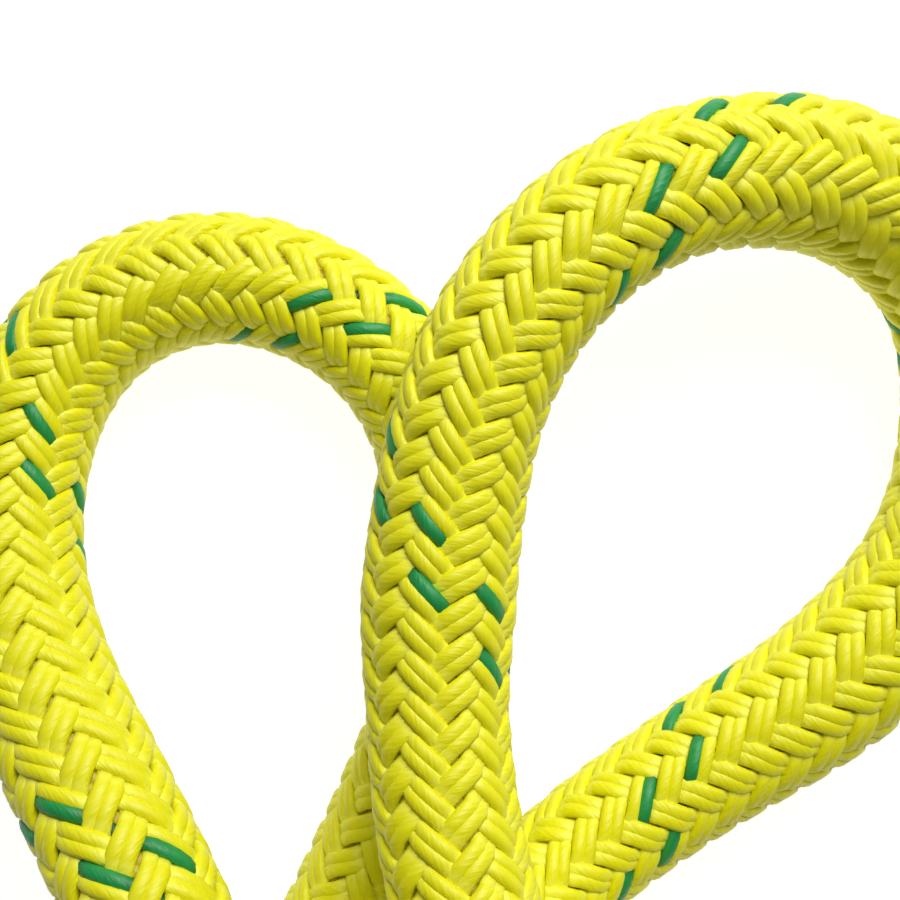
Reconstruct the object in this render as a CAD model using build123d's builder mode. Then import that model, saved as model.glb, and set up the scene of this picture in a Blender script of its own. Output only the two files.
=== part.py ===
from build123d import *
import math
import os

# A soft braided climbing rope, put away as a strapped hank with two short loops drawn out of its front.
# +Z is up, and +Y runs from the hank towards the loops. The origin is under the middle of the whole bundle.

# ---- driving dimensions, in millimetres ----
ROPE_D = 11.0  # a single rope of the thick kind
SHEATH_T = 1.1  # the braided sheath's wall
PITCH = 11.4  # from one strand of the hank to the next, across and up
LAYERS = 6  # of strands in the hank
HALF_WIDTH = 49.0  # of the hank, over its outermost strands
HANK_LENGTH = 255.0
LOOPS_Y = 184.0  # the loops' own middle, in front of the origin
LOOP_REACH = 105.0  # from the loops' middle back to the hank's front
TAIL = 9.0  # bare rope between the hank and the sleeve at each end
SLEEVE_LENGTH = 25.0
SLEEVE_T = 0.4  # shrunk on, the sleeve squeezes the rope by its own thickness
SEAL_T = 1.2  # the melted tip
STRAP_WIDTH = 25.0
STRAP_T = 1.6
STRAP_GAP = 0.3  # beside a strap, where the rope swells again
STRAP_INSET = 62.0  # from the hank's ends to the middle of a strap
WAIST = 2.0  # how far a strap pulls the hank in
CORNER = 5.0  # along the hank's long edges

# ---- worked out ----
ROPE_R = ROPE_D / 2
CORE_R = ROPE_R - SHEATH_T
SIDE_X = HALF_WIDTH - ROPE_R  # the outermost strands
LAYER_Z = [ROPE_R + i * PITCH for i in range(LAYERS)]
HANK_HEIGHT = LAYER_Z[-1] + ROPE_R
FRONT_Y = LOOPS_Y - LOOP_REACH
REAR_Y = FRONT_Y - HANK_LENGTH
STRAP_YS = [FRONT_Y - STRAP_INSET, REAR_Y + STRAP_INSET]

# ---- the two loops' routes, about the loops' middle ----
# The left loop leaves the hank at its right, crosses over to the left, turns round and comes back below.
LEFT_LOOP = [
    (SIDE_X, -LOOP_REACH, LAYER_Z[2]),
    (SIDE_X, -98, LAYER_Z[2]),
    (41, -90, 28.5),
    (34.5, -83, 28.7),
    (24, -76, 28.8),
    (10.5, -69, 29),
    (-2.5, -60.5, 29.5),
    (-12, -50, 28.5),
    (-18.7, -38.4, 22),
    (-24.9, -27.2, 17),
    (-31, -16.4, 12),
    (-36.2, -6, 8),
    (-35.7, 5.5, 6),
    (-28.5, 13.2, 5.5),
    (-18.1, 15.2, 5.5),
    (-8, 11.3, 5.5),
    (-1.5, 3.5, 5.6),
    (0.6, -8.5, 5.7),
    (-0.8, -21, 5.6),
    (-5.4, -32.2, 5.5),
    (-10.2, -42.5, 5.5),
    (-15.5, -53, 5.6),
    (-22.5, -63.5, 7),
    (-30.5, -73.5, 10.5),
    (-37.5, -82, 13.8),
    (-42, -90, 16.2),
    (-SIDE_X, -98, LAYER_Z[1]),
    (-SIDE_X, -LOOP_REACH, LAYER_Z[1]),
]
# The right loop leaves the hank at its left, passes under its own other leg and comes back to the right.
RIGHT_LOOP = [
    (-SIDE_X, -LOOP_REACH, LAYER_Z[2]),
    (-SIDE_X, -98, LAYER_Z[2]),
    (-41.5, -90, 27.8),
    (-36, -81.5, 25.8),
    (-28.5, -73.5, 23),
    (-20.5, -66.5, 20.5),
    (-13, -59, 18.5),
    (-6.5, -51, 16.3),
    (0, -43, 13),
    (8.2, -35, 7.4),
    (19.6, -26.6, 5.6),
    (31.6, -17.8, 5.5),
    (40.6, -8, 5.5),
    (44.8, 4.2, 5.6),
    (42.3, 15.6, 7.5),
    (31.6, 22, 11.5),
    (18.6, 22, 15.5),
    (8.3, 16.2, 18),
    (2.5, 6, 18.3),
    (0, -6, 17.4),
    (-1.2, -18.2, 18.2),
    (0.2, -30.3, 21),
    (4.5, -42, 24.5),
    (11.5, -54, 23.3),
    (21.5, -65, 20),
    (31.5, -75, 18),
    (38.5, -82.5, 17.2),
    (42.3, -90, 16.9),
    (SIDE_X, -98, LAYER_Z[1]),
    (SIDE_X, -LOOP_REACH, LAYER_Z[1]),
]


def placed(route):
    """The route's points in the bundle's own frame."""
    return [Vector(x, y + LOOPS_Y, z) for x, y, z in route]


def corner_radii(points):
    """For each corner, 0.45 of its shorter run over the tangent of half its turn."""
    radii = []
    for before, at, after in zip(points, points[1:], points[2:]):
        half_turn = math.radians((at - before).get_angle(after - at)) / 2
        radii.append(0.45 * min((at - before).length, (after - at).length) / math.tan(half_turn))
    return radii


left_points, right_points = placed(LEFT_LOOP), placed(RIGHT_LOOP)
left_radii, right_radii = corner_radii(left_points), corner_radii(right_points)

# ---- the left loop: a braided sheath over a core of plied cords ----
with BuildPart() as left_loop_sheath:
    with BuildLine() as left_path:
        FilletPolyline(*left_points, radius=left_radii)
    with BuildSketch(Plane(left_path.line @ 0, z_dir=left_path.line % 0)):
        Circle(ROPE_R)
        Circle(CORE_R, mode=Mode.SUBTRACT)
    sweep(path=left_path.line)

with BuildPart() as left_loop_core:
    with BuildLine() as left_core_path:
        FilletPolyline(*left_points, radius=left_radii)
    with BuildSketch(Plane(left_core_path.line @ 0, z_dir=left_core_path.line % 0)):
        Circle(CORE_R)
    sweep(path=left_core_path.line)

# ---- the right loop ----
with BuildPart() as right_loop_sheath:
    with BuildLine() as right_path:
        FilletPolyline(*right_points, radius=right_radii)
    with BuildSketch(Plane(right_path.line @ 0, z_dir=right_path.line % 0)):
        Circle(ROPE_R)
        Circle(CORE_R, mode=Mode.SUBTRACT)
    sweep(path=right_path.line)

with BuildPart() as right_loop_core:
    with BuildLine() as right_core_path:
        FilletPolyline(*right_points, radius=right_radii)
    with BuildSketch(Plane(right_core_path.line @ 0, z_dir=right_core_path.line % 0)):
        Circle(CORE_R)
    sweep(path=right_core_path.line)

# ---- the hank: the outer shape of its bundled turns, pulled in where the straps go round ----
waist_half = STRAP_WIDTH / 2 + STRAP_GAP
swells = [
    (REAR_Y, STRAP_YS[1] - waist_half),
    (STRAP_YS[1] + waist_half, STRAP_YS[0] - waist_half),
    (STRAP_YS[0] + waist_half, FRONT_Y),
]
WAIST_SIZE = (2 * (HALF_WIDTH - WAIST), HANK_HEIGHT - 2 * WAIST)

with BuildPart() as hank:
    for rear, front in swells:
        with BuildSketch(Plane.XZ.offset(-front)):
            with Locations((0, HANK_HEIGHT / 2)):
                RectangleRounded(2 * HALF_WIDTH, HANK_HEIGHT, CORNER)
        extrude(amount=front - rear)
    for strap_y in STRAP_YS:
        with BuildSketch(Plane.XZ.offset(-strap_y - waist_half)):
            with Locations((0, HANK_HEIGHT / 2)):
                RectangleRounded(*WAIST_SIZE, CORNER)
        extrude(amount=2 * waist_half)

# ---- the two straps of woven tape that hold the hank ----
straps = []
for strap_y in STRAP_YS:
    with BuildPart() as strap:
        with BuildSketch(Plane.XZ.offset(-strap_y - STRAP_WIDTH / 2)):
            with Locations((0, HANK_HEIGHT / 2)):
                RectangleRounded(WAIST_SIZE[0] + 2 * STRAP_T, WAIST_SIZE[1] + 2 * STRAP_T, CORNER + STRAP_T)
                RectangleRounded(*WAIST_SIZE, CORNER, mode=Mode.SUBTRACT)
        extrude(amount=STRAP_WIDTH)
    straps.append(strap)

# ---- the rope's two ends, at the hank's rear: bare rope, a shrunk sleeve and a melted tip ----
END_PLACES = {"a": (-SIDE_X, LAYER_Z[0]), "b": (SIDE_X, LAYER_Z[-1])}
ends = {}
for letter, (end_x, end_z) in END_PLACES.items():
    rear_plane = Plane((end_x, REAR_Y, end_z), x_dir=(1, 0, 0), z_dir=(0, -1, 0))
    with BuildPart() as end_sheath:
        with BuildSketch(rear_plane):
            Circle(ROPE_R)
            Circle(CORE_R - SLEEVE_T, mode=Mode.SUBTRACT)
        extrude(amount=TAIL)
        with BuildSketch(rear_plane.offset(TAIL)):
            Circle(ROPE_R - SLEEVE_T)
            Circle(CORE_R - SLEEVE_T, mode=Mode.SUBTRACT)
        extrude(amount=SLEEVE_LENGTH)
    with BuildPart() as end_core:
        with BuildSketch(rear_plane):
            Circle(CORE_R - SLEEVE_T)
        extrude(amount=TAIL + SLEEVE_LENGTH)
    with BuildPart() as end_sleeve:
        with BuildSketch(rear_plane.offset(TAIL)):
            Circle(ROPE_R)
            Circle(ROPE_R - SLEEVE_T, mode=Mode.SUBTRACT)
        extrude(amount=SLEEVE_LENGTH)
    with BuildPart() as end_seal:
        with BuildSketch(rear_plane.offset(TAIL + SLEEVE_LENGTH)):
            Circle(ROPE_R - SLEEVE_T)
        extrude(amount=SEAL_T)
        fillet(end_seal.faces().sort_by(Axis.Y)[0].edges(), radius=SEAL_T / 2)
    ends[letter] = (end_sheath, end_core, end_sleeve, end_seal)

# ---- labels and files ----
os.makedirs("parts", exist_ok=True)

left_loop_sheath.part.label = "left_loop_sheath"
export_step(left_loop_sheath.part, "parts/left_loop_sheath.step")
left_loop_core.part.label = "left_loop_core"
export_step(left_loop_core.part, "parts/left_loop_core.step")
right_loop_sheath.part.label = "right_loop_sheath"
export_step(right_loop_sheath.part, "parts/right_loop_sheath.step")
right_loop_core.part.label = "right_loop_core"
export_step(right_loop_core.part, "parts/right_loop_core.step")
hank.part.label = "hank"
export_step(hank.part, "parts/hank.step")
for place, strap in zip(("front", "rear"), straps):
    strap.part.label = f"{place}_strap"
    export_step(strap.part, f"parts/{place}_strap.step")
for letter, pieces in ends.items():
    for word, piece in zip(("sheath", "core", "sleeve", "seal"), pieces):
        piece.part.label = f"end_{letter}_{word}"
        export_step(piece.part, f"parts/end_{letter}_{word}.step")

# ---- what the routes come to ----
for word, path, radii, sheath, core in (
    ("left", left_path, left_radii, left_loop_sheath, left_loop_core),
    ("right", right_path, right_radii, right_loop_sheath, right_loop_core),
):
    length = path.wires()[0].length
    volume = sheath.part.volume + core.part.volume
    print(f"{word} loop: {length:.1f} mm long, radii {[round(r, 1) for r in radii]}")
    print(f"  volume {volume:.0f} mm3, section times length {math.pi * ROPE_R**2 * length:.0f} mm3")
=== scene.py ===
import bpy
import numpy as np
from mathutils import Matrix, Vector


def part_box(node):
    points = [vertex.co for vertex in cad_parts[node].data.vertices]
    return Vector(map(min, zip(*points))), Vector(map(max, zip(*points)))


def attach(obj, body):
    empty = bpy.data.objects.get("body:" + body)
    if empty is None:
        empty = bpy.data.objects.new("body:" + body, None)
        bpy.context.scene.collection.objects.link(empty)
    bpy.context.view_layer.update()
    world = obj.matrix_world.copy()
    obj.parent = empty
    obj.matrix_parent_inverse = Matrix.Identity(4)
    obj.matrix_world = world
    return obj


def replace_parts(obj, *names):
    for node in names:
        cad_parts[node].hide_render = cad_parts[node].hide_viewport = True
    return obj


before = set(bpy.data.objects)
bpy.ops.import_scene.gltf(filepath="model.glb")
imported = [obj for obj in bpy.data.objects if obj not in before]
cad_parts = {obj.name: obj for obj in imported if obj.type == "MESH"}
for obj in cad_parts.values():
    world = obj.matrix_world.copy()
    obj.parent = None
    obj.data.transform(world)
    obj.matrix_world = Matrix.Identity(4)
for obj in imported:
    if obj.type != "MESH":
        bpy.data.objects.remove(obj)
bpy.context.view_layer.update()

# ---- Camera ----
# Straight above the two loops and close to them, looking down. The hank lies past the lower edge of its
# view.
hank_low, hank_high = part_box("hank")
loops_y = hank_high.y + 0.105

camera = bpy.data.objects.new("camera", bpy.data.cameras.new("camera"))
bpy.context.scene.collection.objects.link(camera)
camera.location = (0.0, loops_y, 0.110)
camera.data.lens = 49.64
camera.data.sensor_width = 36.0
camera.data.clip_start = 0.005
bpy.context.scene.camera = camera

# ---- The rope's line ----
# One rope, 11 mm thick. From its first end it is wound into the lower turns of the hank, comes out as the
# left loop, goes back for the middle turns, comes out as the right loop, and ends with the upper turns.
rope_d = 0.011
# From one turn to the next: the rope's thickness and a little room.
row = 0.0114
# The middles of the three rings of turns, inner to outer, and of the six layers, lowest to highest.
columns = hank_high.x - rope_d / 2 - row * np.array([2, 1, 0])
heights = hank_low.z + rope_d / 2 + row * np.arange(6)
middle_z = (hank_low.z + hank_high.z) / 2
front_y = hank_high.y - columns[2] - rope_d / 2
rear_y = hank_low.y + columns[2] + rope_d / 2
front_strap_y = sum(corner.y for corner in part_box("front_strap")) / 2
rear_strap_y = sum(corner.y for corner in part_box("rear_strap")) / 2
tip_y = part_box("end_a_seal")[1].y

# The two loops as they lie, points listed in metres from the middle between them.
left_loop = [
    (0.0435, -0.105, 0.0283),
    (0.0435, -0.098, 0.0283),
    (0.041, -0.090, 0.0285),
    (0.0345, -0.083, 0.0287),
    (0.024, -0.076, 0.0288),
    (0.0105, -0.069, 0.029),
    (-0.0025, -0.0605, 0.0295),
    (-0.012, -0.050, 0.0285),
    (-0.0187, -0.0384, 0.022),
    (-0.0257, -0.0275, 0.017),
    (-0.0331, -0.0171, 0.012),
    (-0.0366, -0.0062, 0.008),
    (-0.0348, 0.005, 0.006),
    (-0.0282, 0.0128, 0.0055),
    (-0.0181, 0.0152, 0.0055),
    (-0.008, 0.0113, 0.0055),
    (-0.0015, 0.0035, 0.0056),
    (0.0006, -0.0085, 0.0057),
    (-0.0008, -0.021, 0.0056),
    (-0.0054, -0.0322, 0.0055),
    (-0.0102, -0.0425, 0.0055),
    (-0.0155, -0.053, 0.0056),
    (-0.0225, -0.0635, 0.007),
    (-0.0305, -0.0735, 0.0105),
    (-0.0375, -0.082, 0.0138),
    (-0.042, -0.090, 0.0162),
    (-0.0435, -0.098, 0.0169),
    (-0.0435, -0.105, 0.0169),
]
right_loop = [
    (-0.0435, -0.105, 0.0283),
    (-0.0435, -0.098, 0.0283),
    (-0.0415, -0.090, 0.0278),
    (-0.036, -0.0815, 0.0258),
    (-0.0285, -0.0735, 0.023),
    (-0.0205, -0.0665, 0.0205),
    (-0.013, -0.059, 0.0185),
    (-0.0065, -0.051, 0.0163),
    (0.0, -0.043, 0.013),
    (0.0082, -0.035, 0.0074),
    (0.02, -0.0271, 0.0056),
    (0.033, -0.0193, 0.006),
    (0.0418, -0.009, 0.006),
    (0.0448, 0.0042, 0.0056),
    (0.0418, 0.0151, 0.0075),
    (0.0316, 0.022, 0.0115),
    (0.0187, 0.0214, 0.0155),
    (0.0088, 0.0156, 0.018),
    (0.002, 0.0061, 0.0183),
    (-0.0006, -0.006, 0.0174),
    (-0.0012, -0.0182, 0.0182),
    (0.0002, -0.0303, 0.021),
    (0.0045, -0.042, 0.0245),
    (0.0115, -0.054, 0.0233),
    (0.0215, -0.065, 0.020),
    (0.0315, -0.075, 0.018),
    (0.0385, -0.0825, 0.0172),
    (0.0423, -0.090, 0.0169),
    (0.0435, -0.098, 0.0169),
    (0.0435, -0.105, 0.0169),
]


def leg(side, ring, layer):
    """The straight part of a turn, rear to front. x is the side times the ring's column and z is the
    layer's height, both drawn towards the hank's middle, x by 5.3% and z by 7.5%, where a strap grips."""
    y = np.array([
        rear_y,
        rear_strap_y,
        rear_strap_y + 0.015,
        rear_strap_y + 0.039,
        (rear_y + front_y) / 2,
        front_strap_y - 0.039,
        front_strap_y - 0.015,
        front_strap_y,
        front_y,
    ])
    grip = np.array([0.3, 1.0, 0.57, 0, 0, 0, 0.57, 1.0, 0.3])
    x = side * columns[ring] * (1 - 0.053 * grip)
    z = middle_z + (heights[layer] - middle_z) * (1 - 0.075 * grip)
    return np.stack([x, y, z], axis=1)


def fold(start, end, reach):
    """The bend between two legs, five points of half an ellipse. Across the hank it is the cosine of t
    times half the legs' distance, along the hank it is the sine of t times the reach, and the height eases
    from one leg's to the other's by (1 - cos t) / 2. It is drawn 3% large, as the spline cuts inside its
    points."""
    large = 1.03
    t = np.radians([30, 60, 90, 120, 150])
    ease = (1 - np.cos(t)) / 2
    x = (start[0] + end[0]) / 2 + (start[0] - end[0]) / 2 * large * np.cos(t)
    y = start[1] + reach * large * np.sin(t)
    z = start[2] + (end[2] - start[2]) * ease
    return np.stack([x, y, z], axis=1)


# Each turn of the hank as (ring, layer), and after the sixth and the twelfth turn's first leg a loop, with
# the layer that it comes back to.
winding = [
    [(2, 0), (1, 0), (0, 0), (0, 1), (1, 1), (2, 1)],
    [(2, 3), (1, 3), (0, 3), (0, 2), (1, 2), (2, 2)],
    [(2, 4), (1, 4), (0, 4), (0, 5), (1, 5), (2, 5)],
]
drawn_out = [(left_loop[::-1], 2), (right_loop, 1)]
turns = [turn for part in winding for turn in part]
tail_y = np.array([tip_y, tip_y + 0.010, tip_y + 0.025, tip_y + 0.042, tip_y + 0.061])
spots = [np.stack([np.full(5, -columns[2]), tail_y, np.full(5, heights[0])], axis=1)]
for number, (ring, layer) in enumerate(turns):
    spots.append(leg(-1, ring, layer))
    back_layer = layer
    if number in (5, 11):
        loop, back_layer = drawn_out[number // 6]
        loop = np.array(loop) + (0.0, loops_y, 0.0)
        way_out = loop[0] + np.array([[0, -0.034, 0], [0, -0.017, 0]])
        way_back = loop[-1] + np.array([[0, -0.017, 0], [0, -0.034, 0]])
        spots += [way_out, loop, way_back]
    else:
        back = leg(1, ring, layer)
        spots.append(fold(spots[-1][-1], back[-1], columns[ring]))
    spots.append(leg(1, ring, back_layer)[::-1])
    if number < len(turns) - 1:
        next_ring, next_layer = turns[number + 1]
        reach = columns[ring] if next_ring <= ring else columns[next_ring] - 0.0035
        if number == 11:
            reach = columns[2] + row
        spots.append(fold(spots[-1][-1], leg(-1, next_ring, next_layer)[0], -reach))
spots.append(np.stack([np.full(5, columns[2]), tail_y[::-1], np.full(5, heights[5])], axis=1))
spots = np.concatenate(spots)

# ---- Core ----
# A bundle of plied nylon cords carries the load and runs unbroken under the whole length of the sheath. It
# is shown as one rod: the rope's line with a round section.
core_r = 0.0043
line = bpy.data.curves.new("rope_core", "CURVE")
line.dimensions = "3D"
spline = line.splines.new("NURBS")
spline.points.add(len(spots) - 1)
spline.points.foreach_set("co", np.column_stack([spots, np.ones(len(spots))]).ravel())
spline.points.foreach_set("radius", np.full(len(spots), core_r))
spline.order_u = 3
spline.use_endpoint_u = True
line.resolution_u = 8
core = bpy.data.objects.new("rope_core", line)
bpy.context.scene.collection.objects.link(core)

# The line's own points while it has no thickness, the distance along it, and three directions at each
# point.
bare = bpy.data.meshes.new_from_object(core)
points = np.zeros(len(bare.vertices) * 3)
bare.vertices.foreach_get("co", points)
points = points.reshape(-1, 3)
bpy.data.meshes.remove(bare)
line.bevel_depth = 1.0
line.bevel_resolution = 2
line.use_fill_caps = True

gaps = np.linalg.norm(np.diff(points, axis=0), axis=1)
points = points[np.r_[True, gaps > 1e-6]]
along = np.r_[0, np.cumsum(np.linalg.norm(np.diff(points, axis=0), axis=1))]
ahead = np.gradient(points, along, axis=0)
ahead /= np.linalg.norm(ahead, axis=1)[:, None]
sideways = np.cross((0.0, 0.0, 1.0), ahead)
sideways /= np.linalg.norm(sideways, axis=1)[:, None]
upward = np.cross(ahead, sideways)

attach(core, "root")
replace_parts(core, "left_loop_core", "right_loop_core", "end_a_core", "end_b_core")


def colour(code):
    """The linear RGBA of an sRGB hex colour."""
    part = np.array([int(code[i:i + 2], 16) for i in (1, 3, 5)]) / 255
    part = np.where(part <= 0.04045, part / 12.92, ((part + 0.055) / 1.055) ** 2.4)
    return (*part.tolist(), 1.0)


def node(tree, kind, inputs=(), **settings):
    """Adds one shader node, sets its properties, and fills its input sockets: a socket of another node is
    linked, anything else is the input's value."""
    made = tree.nodes.new("ShaderNode" + kind)
    for name, value in settings.items():
        setattr(made, name, value)
    for name, value in dict(inputs).items():
        if isinstance(value, bpy.types.NodeSocket):
            tree.links.new(value, made.inputs[name])
        else:
            made.inputs[name].default_value = value
    return made


def ramp(tree, amount, stops):
    """A colour ramp over amount, with stops of (place, hex colour)."""
    made = node(tree, "ValToRGB", {"Fac": amount})
    while len(made.color_ramp.elements) < len(stops):
        made.color_ramp.elements.new(0.5)
    for element, (place, code) in zip(made.color_ramp.elements, stops):
        element.position = place
        element.color = colour(code)
    return made.outputs["Color"]


def yarn_material(name, stops, sheen):
    """Twisted nylon filaments, a slightly glossy yarn with a faint sheen. Fine lines wind round it: a 2D
    noise on (round + 260 * along, 90 * along), from the piece's UV of round and metres along. The colour
    runs through the stops by the yarn's crown attribute, from where the yarn dives under, which is
    painted shade, to where it rides high, and the fine lines and a patchy noise shift it a little."""
    material = bpy.data.materials.new(name)
    material.use_nodes = True
    tree = material.node_tree
    shader = tree.nodes["Principled BSDF"]
    uv = node(tree, "UVMap", uv_map="lie").outputs["UV"]
    split = node(tree, "SeparateXYZ", {"Vector": uv})
    round_yarn, down_yarn = split.outputs["X"], split.outputs["Y"]
    twist = node(tree, "Math", {0: down_yarn, 1: 260.0, 2: round_yarn}, operation="MULTIPLY_ADD")
    stretch = node(tree, "Math", {0: down_yarn, 1: 90.0}, operation="MULTIPLY")
    threads = node(tree, "CombineXYZ", {"X": twist.outputs[0], "Y": stretch.outputs[0]})
    noise = {"Vector": threads.outputs[0], "Scale": 14.0, "Detail": 2.0}
    fine = node(tree, "TexNoise", noise, noise_dimensions="2D")
    spot = node(tree, "TexCoord").outputs["Object"]
    patch = node(tree, "TexNoise", {"Vector": spot, "Scale": 900.0, "Detail": 1.0})
    # Painted shade: the colour darkens where the yarn dives under, by its crown. With the yellow stops, a
    # pale cream band between them paints a highlight.
    crown = node(tree, "Attribute", attribute_name="crown").outputs["Fac"]
    level = node(tree, "MapRange", {"Value": crown, "From Min": -1.0, "From Max": 1.0})
    lined = {0: fine.outputs["Fac"], 1: 0.34, 2: level.outputs[0]}
    lined = node(tree, "Math", lined, operation="MULTIPLY_ADD")
    mixed = {0: patch.outputs["Fac"], 1: 0.16, 2: lined.outputs[0]}
    mixed = node(tree, "Math", mixed, operation="MULTIPLY_ADD")
    amount = node(tree, "Math", {0: mixed.outputs[0], 1: 0.72}, operation="MULTIPLY")
    tree.links.new(ramp(tree, amount.outputs[0], stops), shader.inputs["Base Color"])
    bump = node(tree, "Bump", {"Height": fine.outputs["Fac"], "Strength": 0.5, "Distance": 0.00012})
    tree.links.new(bump.outputs[0], shader.inputs["Normal"])
    shader.inputs["Roughness"].default_value = 0.48
    shader.inputs["IOR"].default_value = 1.53
    shader.inputs["Sheen Weight"].default_value = sheen
    shader.inputs["Sheen Roughness"].default_value = 0.4
    return material


# The cords are undyed nylon. Their colour here is darkened and yellowed: painted shade, and the yellow light
# that comes through the sheath, so the gaps between the strands show dark.
undyed_painted_shade = [(0.0, "#9A8F3A"), (0.5, "#B9B05A"), (1.0, "#D8D29A")]
core.data.materials.append(yarn_material("nylon_cords_undyed_painted_shade", undyed_painted_shade, 0.1))

# ---- Sheath ----
# 24 strands of nylon yarn, twelve wound each way, each over two and under two of the others. A strand is
# two yarns side by side, and two strands that wind the same way have one green yarn each, the tracer.
# The yellow stops: the dark orange at the start is painted shade where a yarn dives under. The pale cream at
# 0.66 is a painted highlight on the ends of the floats, and in streaks where the fine lines reach it. The
# rest is the yarn's own yellow. The green stops darken the same way into painted shade.
yellow = [(0.0, "#9C8200"), (0.42, "#D9D000"), (0.66, "#F0EE40"), (0.84, "#E9E500"), (1.0, "#E6E100")]
green = [(0.0, "#004016"), (0.5, "#046A2C"), (1.0, "#18984A")]
yellow_yarn = yarn_material("nylon_yarn_yellow", yellow, 0.02)
green_yarn = yarn_material("nylon_yarn_green", green, 0.03)

# The length of one turn round the rope, and of a 24th of it; the radius of the middle of the sheath, and
# how far a strand rides out of it or dives under it.
lay = 0.036
unit = lay / 24
middle_r = 0.0046
rise = 0.00042

# Where each loop leaves the hank, as a distance along the rope.
first_out = np.array(left_loop[-1]) + (0, loops_y, 0)
second_out = np.array(right_loop[0]) + (0, loops_y, 0)
first_loop = along[np.argmin(np.abs(points - first_out).sum(axis=1))]
second_loop = along[np.argmin(np.abs(points - second_out).sum(axis=1))]
rope_end = along[-1]

# A handled rope's sheath creeps and twists on its core: distance along the rope, how far the sheath has
# crept there, in metres, and how far it has turned, in degrees.
crept = np.array([
    (first_loop + 0.1346, -0.0025, 37),
    (first_loop + 0.1715, -0.0032, 1),
    (first_loop + 0.2105, 0.0014, -26),
    (second_loop + 0.1075, -0.0024, 14),
    (second_loop + 0.1250, -0.0024, 14),
    (second_loop + 0.1800, 0.0023, 94),
    (second_loop + 0.1914, 0.0035, 96),
    (second_loop + 0.2246, 0.0007, 110),
])
# It also varies in thickness: distance, and thickness as a share of the nominal. The ends are shrunk in a
# sleeve.
swell = np.array([
    (0.022, 0.93),
    (0.030, 1.0),
    (first_loop + 0.060, 1.0),
    (first_loop + 0.098, 0.95),
    (first_loop + 0.106, 1.0),
    (first_loop + 0.120, 0.96),
    (first_loop + 0.130, 0.966),
    (first_loop + 0.140, 1.0),
    (first_loop + 0.154, 1.03),
    (first_loop + 0.166, 1.06),
    (first_loop + 0.180, 1.03),
    (first_loop + 0.194, 1.04),
    (first_loop + 0.215, 1.02),
    (first_loop + 0.260, 1.0),
    (second_loop + 0.070, 1.0),
    (second_loop + 0.092, 0.96),
    (second_loop + 0.106, 1.0),
    (second_loop + 0.114, 1.05),
    (second_loop + 0.124, 1.11),
    (second_loop + 0.140, 1.08),
    (second_loop + 0.160, 1.09),
    (second_loop + 0.170, 1.12),
    (second_loop + 0.178, 1.1),
    (second_loop + 0.186, 1.04),
    (second_loop + 0.202, 1.015),
    (second_loop + 0.214, 1.03),
    (second_loop + 0.226, 1.075),
    (second_loop + 0.234, 0.97),
    (second_loop + 0.244, 0.98),
    (second_loop + 0.270, 1.0),
    (rope_end - 0.030, 1.0),
    (rope_end - 0.022, 0.93),
])


def weave(phase):
    """Over two and under two: a wave of period 4, +1 about 0.5 and -1 about 2.5. It is the tanh of 1.8 times
    the sine of 90 degrees times (phase + 0.5), scaled to reach 1."""
    return np.tanh(1.8 * np.sin(np.pi / 2 * (phase + 0.5))) / np.tanh(1.8)


def across_line(s):
    """The rope's line at distances s, with its direction to the side and its direction up, each read from
    the line's own points in straight steps."""
    return [
        np.stack([np.interp(s, along, values[:, k]) for k in range(3)], axis=-1)
        for values in (points, sideways, upward)
    ]


def strands(start, end, way, phases, beside, section, rings):
    """Strands that wind round the rope between two distances, as rings of points. The phase grows by one
    per unit of length one way and falls by one the other way, and the angle is -15 degrees times the phase,
    plus the turn that the sheath has crept. The radius is the middle radius plus or minus the rise times
    weave(phase). The section, as (across, out), is swept along that path. beside is how many units a yarn
    lies from its strand's middle, and rings is how many points a strand has in one wave. One ring more than
    needed is made at each end, for the directions, and cut off again."""
    step = 4 * unit / rings
    offset = unit * (0.5 if way > 0 else 0.5 + 2 / rings)
    count = np.arange(np.ceil((start - offset) / step) - 1, np.floor((end - offset) / step) + 3)
    s = offset + step * count
    phase = phases[:, None] + beside[:, None] + way * s / unit
    s = s + np.interp(s, crept[:, 0], crept[:, 1])
    crossing = phase - beside[:, None] / 2
    high = way * weave(crossing)
    # Strands leaning one way sway a little along the rope where they pass over; the others hardly do.
    sway = 0.00036 if way < 0 else 0.00004
    s = s - way * sway * np.sin(np.pi / 2 * (crossing - (0.5 if way > 0 else 2.5)))
    # At the rope's ends the rings stop short of the line's end, each a hair past the one before.
    hair = 0.0001 * count / count[-1]
    s = np.clip(s, 0.0003 + hair, rope_end - 0.0004 + hair)
    place, side, up = across_line(s)
    angle = np.radians(-15 * phase + np.interp(s, crept[:, 0], crept[:, 2]))[..., None]
    fat = np.interp(s, swell[:, 0], swell[:, 1])[..., None]
    outward = np.cos(angle) * side + np.sin(angle) * up
    outward /= np.linalg.norm(outward, axis=-1, keepdims=True)
    centre = place + fat * (middle_r + rise * high[..., None]) * outward
    run = np.gradient(centre, axis=1)
    run /= np.linalg.norm(run, axis=-1, keepdims=True)
    out = outward - (outward * run).sum(axis=-1, keepdims=True) * run
    out /= np.linalg.norm(out, axis=-1, keepdims=True)
    across = np.cross(run, out)
    shape = section[None, None, :, :, None]
    spread = shape[..., 0, :] * across[:, :, None] + shape[..., 1, :] * out[:, :, None]
    verts = centre[:, :, None] + fat[:, :, None] * spread
    crown = np.repeat(high[:, :, None], len(section), axis=2)
    return verts[:, 1:-1], crown[:, 1:-1], s[:, 1:-1]


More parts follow.
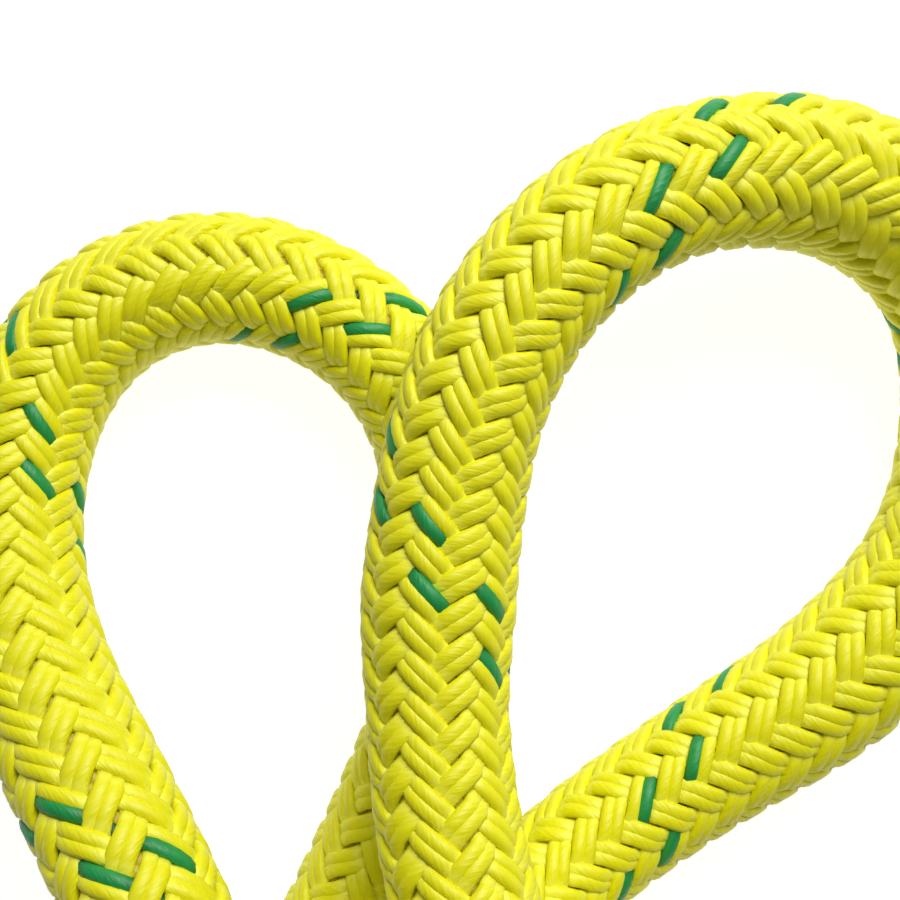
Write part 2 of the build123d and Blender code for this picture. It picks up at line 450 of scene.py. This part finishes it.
def tubes(parts):
    """Joins arrays of (strand, ring, corner) points into the vertices, faces, UVs and crown of closed
    tubes. There is a quad between each two rings and corners, and a flat cap at each end. A UV is the share
    of the way round, and the distance along."""
    verts, corners, totals, uvs, crowns, smooths = [], [], [], [], [], []
    base = 0
    for points_in, crown, s in parts:
        many, rings, sides = crown.shape
        index = base + np.arange(many * rings * sides).reshape(many, rings, sides)
        beyond = np.roll(index, -1, axis=2)
        quads = np.stack([index[:, :-1], index[:, 1:], beyond[:, 1:], beyond[:, :-1]], axis=-1).reshape(-1, 4)
        u = np.broadcast_to(np.arange(sides) / sides, (many, rings - 1, sides))
        v0 = np.broadcast_to(s[:, :-1, None], u.shape)
        v1 = np.broadcast_to(s[:, 1:, None], u.shape)
        quad_uv = np.stack([u, v0, u, v1, u + 1 / sides, v1, u + 1 / sides, v0], axis=-1).reshape(-1, 2)
        caps = np.concatenate([index[:, 0], index[:, -1, ::-1]])
        cap_uv = np.column_stack([np.tile(np.arange(sides) / sides, 2 * many),
                                  np.repeat(np.r_[s[:, 0], s[:, -1]], sides)])
        verts.append(points_in.reshape(-1, 3))
        corners += [quads.ravel(), caps.ravel()]
        totals += [np.full(len(quads), 4), np.full(len(caps), sides)]
        smooths += [np.ones(len(quads), bool), np.zeros(len(caps), bool)]
        uvs += [quad_uv, cap_uv]
        crowns.append(crown.ravel())
        base += many * rings * sides
    return tuple(np.concatenate(each) for each in (verts, corners, totals, uvs, crowns, smooths))


def piece(name, material, data):
    """A smooth-shaded mesh object of those vertices and faces, with its UV map and crown attribute."""
    verts, corners, totals, uvs, crowns, smooth = data
    mesh = bpy.data.meshes.new(name)
    mesh.vertices.add(len(verts))
    mesh.vertices.foreach_set("co", verts.astype(np.float32).ravel())
    mesh.loops.add(len(corners))
    mesh.loops.foreach_set("vertex_index", corners.astype(np.int32))
    mesh.polygons.add(len(totals))
    mesh.polygons.foreach_set("loop_start", np.r_[0, np.cumsum(totals)[:-1]].astype(np.int32))
    mesh.polygons.foreach_set("use_smooth", smooth)
    mesh.update(calc_edges=True)
    mesh.uv_layers.new(name="lie").data.foreach_set("uv", uvs.astype(np.float32).ravel())
    mesh.attributes.new("crown", "FLOAT", "POINT").data.foreach_set("value", crowns.astype(np.float32))
    mesh.materials.append(material)
    made = bpy.data.objects.new(name, mesh)
    bpy.context.scene.collection.objects.link(made)
    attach(made, "root")
    return made


def stretches(wanted, cuts=()):
    """The (start, end) distances of each unbroken run of wanted points, divided at the cuts that lie inside
    it. A run ends at the first point of what follows it."""
    edges = np.flatnonzero(np.diff(np.r_[0, wanted.astype(int), 0]))
    found = []
    for start, end in along[np.minimum(edges, len(along) - 1)].reshape(-1, 2):
        stops = [start, *(cut for cut in cuts if start < cut < end), end]
        found += list(zip(stops[:-1], stops[1:]))
    return found


# Sections as (across, out) in metres, anticlockwise. A yarn in a loop is a rounded box of eight corners,
# the cosine and sine of each to the power of 0.8. A strand elsewhere is a flat band, as wide as its two
# yarns.
around = np.radians(np.arange(8) * 45 + 22.5)
wide = np.sign(np.cos(around)) * np.abs(np.cos(around)) ** 0.8
deep = np.sign(np.sin(around)) * np.abs(np.sin(around)) ** 0.8
round_a = np.column_stack([0.00059 * wide, 0.00050 * deep])
round_b = np.column_stack([0.00065 * wide, 0.00050 * deep])
flat = np.array([(-0.5, -0.2), (0.5, -0.2), (0.27, 0.5), (-0.27, 0.5)])
flat_strand = flat * (0.0022, 0.00095)
flat_yarn = flat * (0.0011, 0.00095)

# The loops get their yarns one by one. Turns that others cover on all sides get a plain tube, and the rest
# of the hank flat bands. From above, the turns of the inner ring show one layer deeper than the others.
is_loop = points[:, 1] > hank_high.y + 0.052
from_middle = np.abs(points[:, 0])
covered_below = heights[5] - rope_d / 2 - row * (from_middle < columns[0] + 0.004)
between_folds = (points[:, 1] > rear_y - 0.015) & (points[:, 1] < front_y + 0.015)
deep_inside = (from_middle < 0.038) & (points[:, 2] < covered_below) & between_folds

# A strand starts every two units round the rope, and its two yarns lie 0.43 of a unit each side of its
# middle.
evens = np.arange(12) * 2.0
apart = 0.43
strand = np.arange(24) // 2
first_yarn = np.arange(24) % 2 == 0
beside = np.where(first_yarn, -apart, apart)
is_tracer = ((strand == 0) & ~first_yarn) | ((strand == 2) & first_yarn)
# Where a loop's yarns are cut into two pieces: under the other loop, and at the far right of the second
# loop.
loop_cuts = (first_loop + 0.114, second_loop + 0.145)
loop_pieces = []
green_parts = []
for number, (start, end) in enumerate(stretches(is_loop, loop_cuts)):
    plain = ~is_tracer
    yellow_parts = [
        strands(start, end, 1, evens[strand[plain]], beside[plain], round_a, 10),
        strands(start, end, -1, evens[strand], beside, round_b, 10),
    ]
    green_parts.append(strands(start, end, 1, evens[strand[is_tracer]], beside[is_tracer], round_a, 10))
    loop_pieces.append(piece(f"sheath_loops_{number + 1}", yellow_yarn, tubes(yellow_parts)))
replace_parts(loop_pieces[0], "left_loop_sheath", "right_loop_sheath")

# The hank's stretches are gathered into pieces of 0.6 m or a little more. A stretch laps 1.2 mm over its
# neighbour, apart from where a long one is cut, and one of under 8 mm is left to the plain tubes.
lap = 0.0012
hank_cuts = np.arange(0.25, rope_end, 0.5)
shown = [run for run in stretches(~is_loop & ~deep_inside, hank_cuts) if run[1] - run[0] > 0.008]
whole = np.array([1, 3, 4, 5, 6, 7, 8, 9, 10, 11])
hank_pieces = []
gathered, gathered_length = [], 0.0
for number, run in enumerate(shown):
    start, end = run + lap * np.array([-1, 1]) * np.isin(run, hank_cuts, invert=True)
    gathered.append(strands(start, end, 1, evens[whole], np.zeros(10), flat_strand, 6))
    gathered.append(strands(start, end, -1, evens, np.zeros(12), flat_strand, 6))
    gathered.append(strands(start, end, 1, evens[[0, 2]], np.array([-apart, apart]), flat_yarn, 6))
    green_parts.append(strands(start, end, 1, evens[[0, 2]], np.array([apart, -apart]), flat_yarn, 6))
    gathered_length += end - start
    if gathered_length > 0.6 or number == len(shown) - 1:
        name = f"sheath_hank_{len(hank_pieces) + 1}"
        hank_pieces.append(piece(name, yellow_yarn, tubes(gathered)))
        gathered, gathered_length = [], 0.0
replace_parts(hank_pieces[0], "hank", "end_a_sheath", "end_b_sheath")
tracer = piece("sheath_tracer", green_yarn, tubes(green_parts))


def pipe(start, end, radius, sides):
    """A plain tube round the rope's line: every 4 mm of distance, a circle across the line, which is the
    cosine of the angle to the side and its sine up."""
    s = np.linspace(start, end, int((end - start) / 0.004) + 2)
    place, side, up = across_line(s)
    angle = np.arange(sides) * 2 * np.pi / sides
    ring = np.cos(angle)[None, :, None] * side[:, None] + np.sin(angle)[None, :, None] * up[:, None]
    verts = place[:, None] + radius * ring
    return verts[None, :, ::-1], np.zeros((1, len(s), sides)), s[None]


# Each plain tube runs 4 mm on under the bands at both its ends, a little thinner than they are.
covered = [pipe(start - 0.004, end + 0.004, 0.0051, 12) for start, end in stretches(deep_inside)]
buried = piece("sheath_buried", yellow_yarn, tubes(covered))

# ---- Ends ----
# Each end is gripped by a plastic sleeve that was shrunk on with heat, so the braid shows through it as a
# soft relief. The cut behind it is melted into a hard, slightly lumpy cap.
end_spots = [("end_a", -columns[2], heights[0]), ("end_b", columns[2], heights[5])]


def revolved(x, z, y, radius):
    """Rings round a line along the hank, which runs through x and z: at each y and angle a point at the
    radius given for it, its cosine to the side and its sine up."""
    angle = np.arange(radius.shape[1]) * 2 * np.pi / radius.shape[1]
    along_hank = np.broadcast_to(y[:, None], radius.shape)
    verts = np.stack([x + radius * np.cos(angle), along_hank, z + radius * np.sin(angle)], axis=-1)
    return verts[None], np.zeros((1, *radius.shape)), (y - y[0])[None]


def plastic(name, code, roughness, scale, depth):
    """A plastic with a soft uneven surface: a noise of that scale, on Object coordinates, mixes the two
    colours and drives the bump and a little of the roughness."""
    material = bpy.data.materials.new(name)
    material.use_nodes = True
    tree = material.node_tree
    shader = tree.nodes["Principled BSDF"]
    spot = node(tree, "TexCoord").outputs["Object"]
    blotch = node(tree, "TexNoise", {"Vector": spot, "Scale": scale, "Detail": 3.0})
    shade = node(tree, "Mix", {"Factor": blotch.outputs["Fac"], "A": colour(code[0]), "B": colour(code[1])},
                 data_type="RGBA")
    gloss = node(tree, "MapRange", {"Value": blotch.outputs["Fac"], "To Min": roughness - 0.08,
                                    "To Max": roughness + 0.1})
    bump = node(tree, "Bump", {"Height": blotch.outputs["Fac"], "Strength": 0.4, "Distance": depth})
    tree.links.new(shade.outputs["Result"], shader.inputs["Base Color"])
    tree.links.new(gloss.outputs[0], shader.inputs["Roughness"])
    tree.links.new(bump.outputs[0], shader.inputs["Normal"])
    shader.inputs["IOR"].default_value = 1.5
    return material


# Smooth, fairly glossy polyolefin, in patches of about 4 mm; nylon that has run and set like glass, in
# patches of about 1.5 mm.
shrunk_plastic = plastic("shrunk_polyolefin", ("#0A5C35", "#127A48"), 0.32, 260.0, 0.0002)
melted_nylon = plastic("melted_nylon", ("#A88B12", "#D8CE3A"), 0.25, 700.0, 0.0003)
for name, x, z in end_spots:
    # The sleeve: its rim is rounded over 0.6 mm, and its relief is two waves that cross, as the strands do.
    low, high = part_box(name + "_sleeve")
    y = np.linspace(low.y, high.y, 61)
    turn = np.arange(72) * np.pi / 36
    edge = np.minimum(y - low.y, high.y - y)
    lip = 0.00045 * (1 - np.clip(edge / 0.0006, 0, 1)) ** 2
    wave = (y[:, None] - low.y) * 1050
    relief = 0.00014 * np.cos(6 * turn + wave) * np.cos(6 * turn - wave)
    rings = revolved(x, z, y, 0.00538 - lip[:, None] + relief)
    made = piece(name + "_shrink_sleeve", shrunk_plastic, tubes([rings]))
    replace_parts(made, name + "_sleeve")
    # The tip: a dome whose radius falls off as the root of 1 - share ** 2.2, with waves round it for lumps.
    low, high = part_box(name + "_seal")
    share = np.linspace(0, 1, 13)
    dome = np.sqrt(np.clip(1 - share ** 2.2, 0.0004, 1))
    lumps = 1 + 0.035 * np.sin(3 * turn + 0.7) + 0.02 * np.sin(8 * turn)
    y = high.y + 0.0002 - (high.y + 0.0002 - low.y) * share
    rings = revolved(x, z, y[::-1], 0.0050 * (dome[:, None] * lumps)[::-1])
    made = piece(name + "_melted_tip", melted_nylon, tubes([rings]))
    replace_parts(made, name + "_seal")

# ---- Straps ----
# Two straps of matt, near-black woven polyamide tape go tightly round the hank, each closed on top by its
# own hook-and-loop tail. The weave is two waves multiplied, 1.1 mm long along the tape and 0.8 mm across
# it.
webbing = bpy.data.materials.new("woven_polyamide_tape")
webbing.use_nodes = True
tree = webbing.node_tree
shader = tree.nodes["Principled BSDF"]
split = node(tree, "SeparateXYZ", {"Vector": node(tree, "UVMap", uv_map="lie").outputs["UV"]})
spot = node(tree, "SeparateXYZ", {"Vector": node(tree, "TexCoord").outputs["Object"]})
rib = node(tree, "Math", {0: split.outputs["Y"], 1: 2 * np.pi / 0.0011}, operation="MULTIPLY")
rib = node(tree, "Math", {0: rib.outputs[0]}, operation="SINE")
warp = node(tree, "Math", {0: spot.outputs["Y"], 1: 2 * np.pi / 0.0008}, operation="MULTIPLY")
warp = node(tree, "Math", {0: warp.outputs[0]}, operation="SINE")
cloth = node(tree, "Math", {0: rib.outputs[0], 1: warp.outputs[0]}, operation="MULTIPLY")
level = node(tree, "MapRange", {"Value": cloth.outputs[0], "From Min": -1.0, "From Max": 1.0})
cloth_colour = ramp(tree, level.outputs[0], [(0.0, "#17191C"), (1.0, "#3A3D42")])
tree.links.new(cloth_colour, shader.inputs["Base Color"])
bump = node(tree, "Bump", {"Height": level.outputs[0], "Strength": 0.6, "Distance": 0.0003})
tree.links.new(bump.outputs[0], shader.inputs["Normal"])
shader.inputs["Roughness"].default_value = 0.8
shader.inputs["IOR"].default_value = 1.53

# The tape's line, seen from the front, starts under the tail, goes once round the hank with rounded
# corners, and ends as the tail on top. The tape is 1.4 mm thick, and its line lies 0.8 mm inside the CAD
# strap's box.
corner = 0.0062
inset = 0.0008
half_thick = 0.0007
chamfer = 0.0006
for name in ("front_strap", "rear_strap"):
    low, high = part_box(name)
    arc = np.radians(np.linspace(90, 450, 61))[:-1]
    quarter = np.arange(60) // 15
    top = high.z - inset
    centre_x = (high.x - inset - corner) * np.array([-1, -1, 1, 1])[quarter]
    centre_z = np.array([top - corner, low.z + inset + corner])[np.array([0, 1, 1, 0])[quarter]]
    ring = np.column_stack([centre_x + corner * np.cos(arc), centre_z + corner * np.sin(arc)])
    under_tail = np.column_stack([np.linspace(0.020, -0.030, 6), np.full(6, top)])
    tail = np.column_stack([[0.034, 0.028, 0.022, 0.016, 0.006, -0.006, -0.018, -0.026],
                            top + np.array([0, 0.0002, 0.0009, 0.0016, 0.0016, 0.0016, 0.0017, 0.0019])])
    path = np.concatenate([under_tail, ring, tail])
    far = np.r_[0, np.cumsum(np.linalg.norm(np.diff(path, axis=0), axis=1))]
    s = np.linspace(0, far[-1], 420)
    path = np.column_stack([np.interp(s, far, path[:, 0]), np.interp(s, far, path[:, 1])])
    run = np.gradient(path, axis=0)
    run /= np.linalg.norm(run, axis=1)[:, None]
    out = np.column_stack([-run[:, 1], run[:, 0]])
    # At the hank's sides the tape follows the layers of rope by a quarter of a millimetre.
    bulge = 0.00025 * np.cos(2 * np.pi * (path[:, 1] - heights[0]) / row) * (np.abs(out[:, 0]) > 0.9)
    path = path + out * bulge[:, None]
    half = (high.y - low.y) / 2
    section = np.array([
        (-half + chamfer, half_thick),
        (half - chamfer, half_thick),
        (half, 0),
        (half - chamfer, -half_thick),
        (-half + chamfer, -half_thick),
        (-half, 0),
    ])
    verts = np.stack([path[:, None, 0] + section[:, 1] * out[:, None, 0],
                      np.broadcast_to((low.y + high.y) / 2 + section[:, 0], (len(s), 6)),
                      path[:, None, 1] + section[:, 1] * out[:, None, 1]], axis=-1)
    tape = tubes([(verts[None], np.zeros((1, len(s), 6)), s[None])])
    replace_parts(piece(name + "_tape", webbing, tape), name)

# ---- Floor and light ----
# A sheet of matt white paper, which glows a little so that it stays white under the rope, a large soft
# light above the far side of the loops, and a dim even light from all round.
floor_mesh = bpy.data.meshes.new("floor")
floor_mesh.from_pydata([(-9, -9, 0), (9, -9, 0), (9, 9, 0), (-9, 9, 0)], [], [(0, 1, 2, 3)])
floor = bpy.data.objects.new("floor", floor_mesh)
bpy.context.scene.collection.objects.link(floor)
paper = bpy.data.materials.new("white_paper")
paper.use_nodes = True
shader = paper.node_tree.nodes["Principled BSDF"]
shader.inputs["Base Color"].default_value = colour("#808080")
shader.inputs["Roughness"].default_value = 0.9
shader.inputs["Emission Color"].default_value = (1, 1, 1, 1)
shader.inputs["Emission Strength"].default_value = 0.92
floor_mesh.materials.append(paper)
world = bpy.data.worlds.new("studio")
bpy.context.scene.world = world
world.use_nodes = True
world.node_tree.nodes["Background"].inputs["Color"].default_value = (1, 1, 1, 1)
world.node_tree.nodes["Background"].inputs["Strength"].default_value = 0.12
bpy.context.scene.view_settings.view_transform = "Standard"
key = bpy.data.objects.new("key_light", bpy.data.lights.new("key_light", "AREA"))
bpy.context.scene.collection.objects.link(key)
key.data.energy = 1.68
key.data.size = 0.25
key.location = (0.09, loops_y + 0.25, 0.29)
key.rotation_euler = (Vector((0, loops_y, 0)) - key.location).to_track_quat("-Z", "Y").to_euler()
